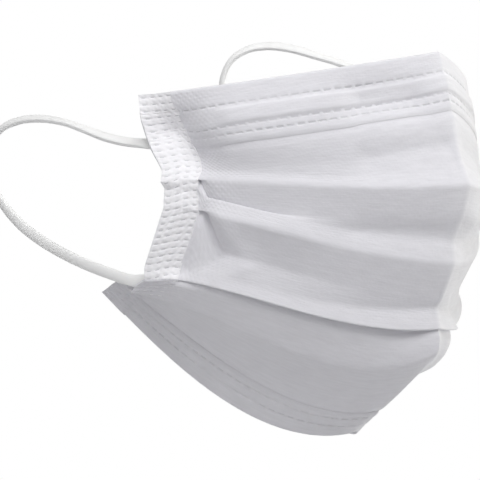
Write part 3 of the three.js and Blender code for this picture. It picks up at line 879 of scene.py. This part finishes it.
def wire_relief(place, below):
    """How far the nose hem stands out over the wire."""
    past = np.abs(distance_at("top", place)) - WIRE["half_length"]
    over = smooth(below, *RELIEF_EDGES[:2]) * (1 - smooth(below, *RELIEF_EDGES[2:]))
    return WIRE["relief"] * over * (1 - smooth(past, *RELIEF_ENDS))


def round_edge(edge, within, inward):
    """Rows round a hem's turned edge, from its inner leg to its outer one.

    The edge is the outer leg's own last row, and `within` is the row next to it.
    """
    radius = INNER_LEG / 2
    beyond = unit(edge - within)
    return np.stack([
        edge + inward * radius * (1 + math.cos(angle)) + beyond * radius * math.sin(angle)
        for angle in np.linspace(0, math.pi, TURN_ROWS)[1:-1]
    ])


def seam_line(away, hem):
    """The hem's cut edge, pressed thin."""
    return SEAM["thinner"] * smooth(away, hem - SEAM["wide"], hem)


def hem_puff(away, lines, hem):
    """How far cloth stands proud between lines of dashes: a depth, so it is below 0."""
    nearest = np.min([np.abs(away - at) for at, _ in lines] + [np.abs(away - hem)], axis=0)
    return -PUFF["proud"] * smooth(nearest, PUFF["from"], PUFF["by"])


def hem_depth(along, away, lines, hem):
    """How deep a hem is pressed in all: its dashes, its cut edge and the cloth between them."""
    return hem_press(along, away, lines) + seam_line(away, hem) + hem_puff(away, lines, hem)


def make_nose_hem(material):
    """The fold-over along the top edge: its inner leg, the turned edge and its outer leg."""
    place = even_places("top", -BAND_START, BAND_START, NOSE_GRID["columns"])
    line = nose_line(place)
    below = fine_rows(NOSE_LINES, NOSE_HEM, NOSE_GRID["rows"], extra=ROWS_AT_WIRE)
    outer = skin(line, below, 0 * below)
    inside = np.linspace(0, NOSE_HEM, NOSE_GRID["inner"])
    inner = skin(line, inside, 0 * inside + INNER_LEG)[::-1]
    turned = round_edge(outer[0], outer[1], facing(outer)[0])
    grid = np.concatenate([inner, turned, outer])

    along = distance_at("top", place)[None, :]
    away = below[:, None]
    relief = wire_relief(place[None, :], away)
    press = hem_depth(along, away, NOSE_LINES, NOSE_HEM)
    hidden = np.zeros((len(grid) - len(outer), len(place)))
    front = HEM_WALL / 2 + np.concatenate([hidden, relief - press])
    back = HEM_WALL / 2 - np.concatenate([hidden, relief])
    return wall("nose_hem_cloth", grid, front, back, measures(grid, along[0]), material)


def make_chin_hem(material):
    """The fold-over along the bottom edge: its outer leg, the turned edge and its inner leg."""
    place = even_places("bottom", -BAND_START, BAND_START, CHIN_GRID["columns"])
    line = chin_line(place)
    above = fine_rows(CHIN_LINES, CHIN_HEM, CHIN_GRID["rows"])[::-1]
    outer = skin(line, above, 0 * above)
    inside = np.linspace(CHIN_HEM, 0, CHIN_GRID["inner"])
    inner = skin(line, inside, 0 * inside + INNER_LEG)[::-1]
    turned = round_edge(outer[-1], outer[-2], facing(outer)[-1])[::-1]
    grid = np.concatenate([outer, turned, inner])

    along = distance_at("bottom", place)[None, :]
    press = hem_depth(along, above[:, None], CHIN_LINES, CHIN_HEM)
    hidden = np.zeros((len(grid) - len(outer), len(place)))
    front = HEM_WALL / 2 - np.concatenate([press, hidden])
    return wall("chin_hem_cloth", grid, front, HEM_WALL / 2, measures(grid, along[0]), material)


def band_line(place):
    """The line down a welded strip: each shut pleat leaves one step in it."""
    from_edge = (1 - np.abs(place)) * HALF_WIDTH
    step = column(mix(*BAND_STEP, smooth(from_edge, BAND_STEP_FROM, BAND_WIDTH)))
    pleats = all_pleats(place)
    pieces = [top_line(place, pleats)]
    for fold, following in zip(pleats, [*pleats[1:], None]):
        start = (fold["edge"] + fold["inward"] * step - UP * STEP_DROP)[None]
        if following:
            pieces.append(next_panel(start, following))
        else:
            pieces.append(round_chin(start, place))
    line = dented(np.concatenate(pieces), place)
    above = line[:1] + unit(line[:1] - line[1:2]) * BAND_OVER
    below = line[-1:] + unit(line[-1:] - line[-2:-1]) * BAND_OVER
    return np.concatenate([above, line, below])


def band_grid(sign):
    """Places across a strip, its grid, how long it is and how many rows of dashes lie down it."""
    start = BAND_START - BAND_LAP / HALF_WIDTH
    rows_each, columns_each = GRID_PER_DASH
    place = np.linspace(start, 1, ROW_COUNT * columns_each + 1) * sign
    if sign < 0:
        place = place[::-1]
    line = band_line(place)
    longest = float(lengths(line)[-1].max())
    rows = round(longest / ROW_PITCH)
    return place, between(line, 0, 0, rows * rows_each + 1), longest, rows


def make_band(name, sign, material, below_material):
    """A welded strip in a lighter cloth, a painted highlight, whose lower part takes the sheet's
    darker cloth as painted shade.
    """
    place, grid, longest, rows = band_grid(sign)
    from_edge = (1 - np.abs(place)) * HALF_WIDTH
    down = np.linspace(0, longest, len(grid))[:, None]
    pitch = longest / rows
    off_row = ((down / pitch) % 1.0 - 0.5) * pitch
    rows_press = pressed(from_edge[None, :], off_row, ROW_DASH)
    below, above = down - BAND_OVER, longest - BAND_OVER - down
    hems_press = hem_press(distance_at("top", place)[None, :], below, NOSE_LINES) \
        + hem_press(distance_at("bottom", place)[None, :], above, CHIN_LINES)
    press = np.maximum(rows_press, hems_press)
    ribs = ROW_RIB * (0.5 + 0.5 * np.cos(2 * math.pi * down / pitch)) \
        * smooth(BAND_WIDTH - from_edge, *RIB_STARTS)[None, :]
    flow = np.stack(np.broadcast_arrays(HALF_WIDTH - from_edge[None, :], down), axis=-1)
    piece = wall(name, grid, BAND_FRONT - press + ribs, BAND_BACK, flow, material)
    piece.data.materials.append(below_material)
    # Faces below the last fold, where the strip turns down into shade, take the darker material:
    # painted shade.
    for face in piece.data.polygons:
        face.material_index = int(face.center.z < STRIP_SHADED_BELOW * MM)
    return piece


def band_spots(sign, under):
    """Where a strip's film dashes lie, with the way along each one and out of the cloth.

    With `under` they are those between the last fold and the flap, which take a painted highlight,
    and without it all the others.
    """
    _, grid, _, _ = band_grid(sign)
    rows_each, columns_each = GRID_PER_DASH
    middles = np.s_[rows_each // 2::rows_each, columns_each // 2::columns_each]
    inward = facing(grid)[middles]
    across = np.gradient(grid, axis=1)[middles]
    spots = grid[middles] - inward * (BAND_FRONT - ROW_DASH["depth"] + FILM_PROUD)
    below = (spots[..., 2] < STRIP_SHADED_BELOW) & (spots[..., 1] < FLAP_FROM)
    wanted = below == under
    return [(spots[wanted], unit(across)[wanted], -inward[wanted])]


def make_wire(material):
    """The coated wire, in the relief of the nose hem."""
    reach = WIRE["half_length"]
    place = place_at("top", np.linspace(-reach, reach, WIRE_COLUMNS))
    below = WIRE["below"] + WIRE["width"] * WIRE_ACROSS
    grid = skin(nose_line(place), below, 0 * below - WIRE_FORWARD)
    half = WIRE["thickness"] / 2 * WIRE_THICK[:, None]
    return wall("nose_wire_coated", grid, half, half,
                measures(grid, distance_at("top", place)), material)


# ================================================================ ear loops
def sweep(name, route, material):
    """Flat elastic along a route, and its length in metres.

    Knitted ribs run along it, and it is pressed flat where its ends are welded.
    """
    knots = [np.array([point]) / MM for point in route]
    knots = [knots[0] + unit(knots[0] - knots[1]) * LOOP_TAIL, *knots,
             knots[-1] + unit(knots[-1] - knots[-2]) * LOOP_TAIL]
    line = through(knots, [KNOT_ROWS] * (len(knots) - 1))
    length = float(lengths(line)[-1, 0])
    count = round(length / LOOP_STEP)
    path = between(line, 0, 0, count + 1)[:, 0]
    run = unit(np.gradient(path, axis=0))
    level = unit(np.array((1.0, 0.0, 0.0)) - run * run[:, :1])
    lean = np.radians(np.interp(np.linspace(0, 1, count + 1), *zip(*LOOP_TWIST)))[:, None]
    flat = level * np.cos(lean) + np.cross(run, level) * np.sin(lean)
    side = np.cross(run, flat)

    around = np.linspace(0, 2 * math.pi, LOOP_SIDES, endpoint=False)
    wide = np.sign(np.sin(around)) * np.abs(np.sin(around)) ** LOOP_CORNER
    thick = np.sign(np.cos(around)) * np.abs(np.cos(around)) ** LOOP_CORNER
    along = np.arange(count + 1) * LOOP_STEP
    stitch = np.cos(2 * math.pi * along / STITCH_PITCH)[:, None] \
        * np.cos(around * KNIT_RIBS / 2) ** 2
    rib = 1 + KNIT_RIB * np.cos(around * KNIT_RIBS) + STITCH * stitch
    from_end = np.minimum(along, along[::-1])
    loose = smooth(from_end, *LOOP_LOOSE)
    half_width = column(LOOP_WIDTH / 2 * mix(LOOP_SPREAD, 1.0, loose))
    half_thick = column(LOOP_THICKNESS / 2 * mix(LOOP_FLAT, 1.0, loose))
    rings = path[:, None] + side[:, None] * column(half_width * wide * rib) \
        + flat[:, None] * column(half_thick * thick * rib)
    points = np.concatenate([rings.reshape(-1, 3), path[:1], path[-1:]])
    n = np.arange((count + 1) * LOOP_SIDES).reshape(count + 1, LOOP_SIDES)
    after = np.roll(n, -1, axis=1)
    faces = np.stack([n[:-1], after[:-1], after[1:], n[1:]], axis=-1).reshape(-1, 4).tolist()
    first, last = len(points) - 2, len(points) - 1
    faces += [(first, int(b), int(a)) for a, b in zip(n[0], after[0])]
    faces += [(last, int(a), int(b)) for a, b in zip(n[-1], after[-1])]
    flow = np.stack([np.append(np.repeat(along, LOOP_SIDES), [0, along[-1]]),
                     np.append(np.tile(around * LOOP_WIDTH / 2, count + 1), [0, 0])], axis=-1)
    return finish_mesh(name, points, faces, material, flow, "cord", sharp=180), length * MM


# ================================================================ pressed dashes of film
def dash_tree(name, material):
    """Geometry nodes: a film dash on every point, turned by the point's own two directions."""
    tree = bpy.data.node_groups.new(name, "GeometryNodeTree")
    tree.is_modifier = True
    interface = tree.interface
    interface.new_socket("Geometry", in_out="INPUT", socket_type="NodeSocketGeometry")
    for label in ("Length", "Width", "Thickness"):
        interface.new_socket(label, in_out="INPUT", socket_type="NodeSocketFloat")
    interface.new_socket("Geometry", in_out="OUTPUT", socket_type="NodeSocketGeometry")

    given = add(tree, "NodeGroupInput").outputs
    disc = add(tree, "GeometryNodeMeshCylinder", {
        "Vertices": FILM_SIDES, "Radius": 0.5, "Depth": 1.0})
    size = add(tree, "ShaderNodeCombineXYZ", {
        "X": given["Length"], "Y": given["Width"], "Z": given["Thickness"]})
    along, out = [
        add(tree, "GeometryNodeInputNamedAttribute", {"Name": label}, data_type="FLOAT_VECTOR")
        .outputs["Attribute"]
        for label in ("along", "out")
    ]
    facing_out = add(tree, "FunctionNodeAxesToRotation", {
        "Primary Axis": along, "Secondary Axis": out}, primary_axis="X", secondary_axis="Z")
    laid = add(tree, "GeometryNodeInstanceOnPoints", {
        "Points": given["Geometry"], "Instance": disc.outputs["Mesh"],
        "Rotation": facing_out.outputs["Rotation"], "Scale": size.outputs["Vector"]})
    real = add(tree, "GeometryNodeRealizeInstances", {"Geometry": laid.outputs["Instances"]})
    finished = add(tree, "GeometryNodeSetMaterial", {
        "Geometry": real.outputs["Geometry"], "Material": material})
    add(tree, "NodeGroupOutput", {"Geometry": finished.outputs["Geometry"]})
    return tree


def lay_dashes(name, tree, spots, dash):
    """Film dashes at spots, each a point, the way along its line and the way out of the cloth."""
    points, along, out = (np.concatenate(part) for part in zip(*spots))
    mesh = bpy.data.meshes.new(name)
    mesh.from_pydata((points * MM).tolist(), [], [])
    for label, values in (("along", along), ("out", out)):
        attribute = mesh.attributes.new(label, "FLOAT_VECTOR", "POINT")
        attribute.data.foreach_set("vector", values.ravel())
    piece = bpy.data.objects.new(name, mesh)
    bpy.context.scene.collection.objects.link(piece)
    modifier = piece.modifiers.new("weld_dashes", "NODES")
    modifier.node_group = tree
    sizes = {"Length": dash["length"], "Width": dash["width"], "Thickness": FILM_THICKNESS}
    for socket in tree.interface.items_tree:
        if socket.in_out == "INPUT" and socket.name in sizes:
            modifier[socket.identifier] = sizes[socket.name] * MM
    evaluated = piece.evaluated_get(bpy.context.evaluated_depsgraph_get())
    made = bpy.data.meshes.new_from_object(evaluated)
    piece.modifiers.clear()
    piece.data = made
    made.name = name
    return piece


DASH_PROBE = np.array([-0.4, 0.0, 0.4])     # rows round a line of dashes that give its direction


def hem_spots(rail_name, line_of, lines, deep, out_sign, turned=False):
    """Where a hem's dashes lie, on a leg `deep` behind the cloth's line.

    Their films face along `out_sign` times the inward direction. A line that runs up from the edge
    is turned first, so that its cloth faces the same way as one that runs down.
    """
    reach = distance_at(rail_name, BAND_START)
    spots = []
    for at, shift in lines:
        first = math.ceil(-reach / DASH["pitch"] + shift)
        last = math.floor(reach / DASH["pitch"] + shift)
        centres = (np.arange(first, last) + 0.5 - shift) * DASH["pitch"]
        place = place_at(rail_name, centres)
        rows = at + DASH_PROBE
        if turned:
            rows = rows[::-1]
        grid = skin(line_of(place), rows, 0 * rows)
        inward = facing(grid)[1]
        spots.append((grid[1] + inward * deep, unit(np.gradient(grid[1], axis=0)),
                      inward * out_sign))
    return spots


# ================================================================ the mask
def make_mask():
    """Every piece of the mask, with what it rides on, replaces and is made of."""
    spunbond = make_spunbond("spunbond_polypropylene", "#DCDBE0", "#E2E1E6")
    double = make_spunbond("doubled_spunbond_polypropylene", "#DFDEE3", "#E5E4E9")
    # The strips' cloth: lighter than the sheet's, a painted highlight for the light that their
    # flanges catch.
    painted_highlight_spunbond = make_spunbond("welded_spunbond_painted_highlight", "#EEEDF0", "#F3F2F5")
    # The dashes' film: darker than the cloth, partly as melted film and partly as painted shade in
    # the pits it lies in.
    film_and_pit_shade = make_weld_film("welded_film_and_painted_pit_shade", "#D2D1D6")
    # The dashes in the strips' shaded lower part: near white, a painted highlight for the glint that
    # their film catches.
    highlight_film = make_weld_film("welded_film_painted_highlight", "#FAFAFB")
    elastic = make_elastic()
    coating = make_wire_coating()

    for side, route in (("right", RIGHT_LOOP), ("left", LEFT_LOOP)):
        loop, length = sweep(f"ear_elastic_{side}", route, elastic)
        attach(loop, "root")
        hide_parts(f"ear_loop_{side}")

    place = even_places("cheek", -BAND_START, BAND_START, SHEET_COLUMNS)
    grid = sheet_grid(place)
    panel = wall("pleated_sheet", grid, PANEL_WALL / 2, PANEL_WALL / 2,
                 measures(grid, distance_at("cheek", place)), spunbond)
    hems = [make_nose_hem(double), make_chin_hem(spunbond)]
    bands = [make_band("cheek_strip_right", -1, painted_highlight_spunbond, spunbond),
              make_band("cheek_strip_left", 1, painted_highlight_spunbond, spunbond)]
    wire = make_wire(coating)
    nodes = ("pleated_panel", "nose_hem", "chin_hem", "cheek_band_right", "cheek_band_left",
             "nose_wire")
    for piece, node in zip((panel, *hems, *bands, wire), nodes):
        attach(piece, "root")
        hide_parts(node)

    # The hems' and upper strips' dashes take the darker film, partly painted shade.
    tree = dash_tree("hem_weld_dashes", film_and_pit_shade)
    sunk = HEM_WALL / 2 - DASH["depth"] + FILM_PROUD
    laid = INNER_LEG + HEM_WALL / 2
    nose_welds = lay_dashes(
        "nose_hem_welds", tree,
        hem_spots("top", nose_line, NOSE_LINES, -sunk, -1)
        + hem_spots("top", nose_line, NOSE_LINES, laid, 1), DASH)
    chin_welds = lay_dashes(
        "chin_hem_welds", tree,
        hem_spots("bottom", chin_line, CHIN_LINES, -sunk, -1, turned=True)
        + hem_spots("bottom", chin_line, CHIN_LINES, laid, 1, turned=True), DASH)
    strip_welds = lay_dashes("cheek_strip_welds", tree,
                             band_spots(-1, False) + band_spots(1, False), ROW_DASH)
    # The lower strips' dashes take the near-white film: a painted highlight on them in the shade.
    low_welds = lay_dashes("lower_strip_welds", dash_tree("lower_weld_dashes", highlight_film),
                           band_spots(-1, True) + band_spots(1, True), ROW_DASH)
    for piece in (nose_welds, chin_welds, strip_welds, low_welds):
        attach(piece, "root")


make_camera()
make_studio()
make_mask()
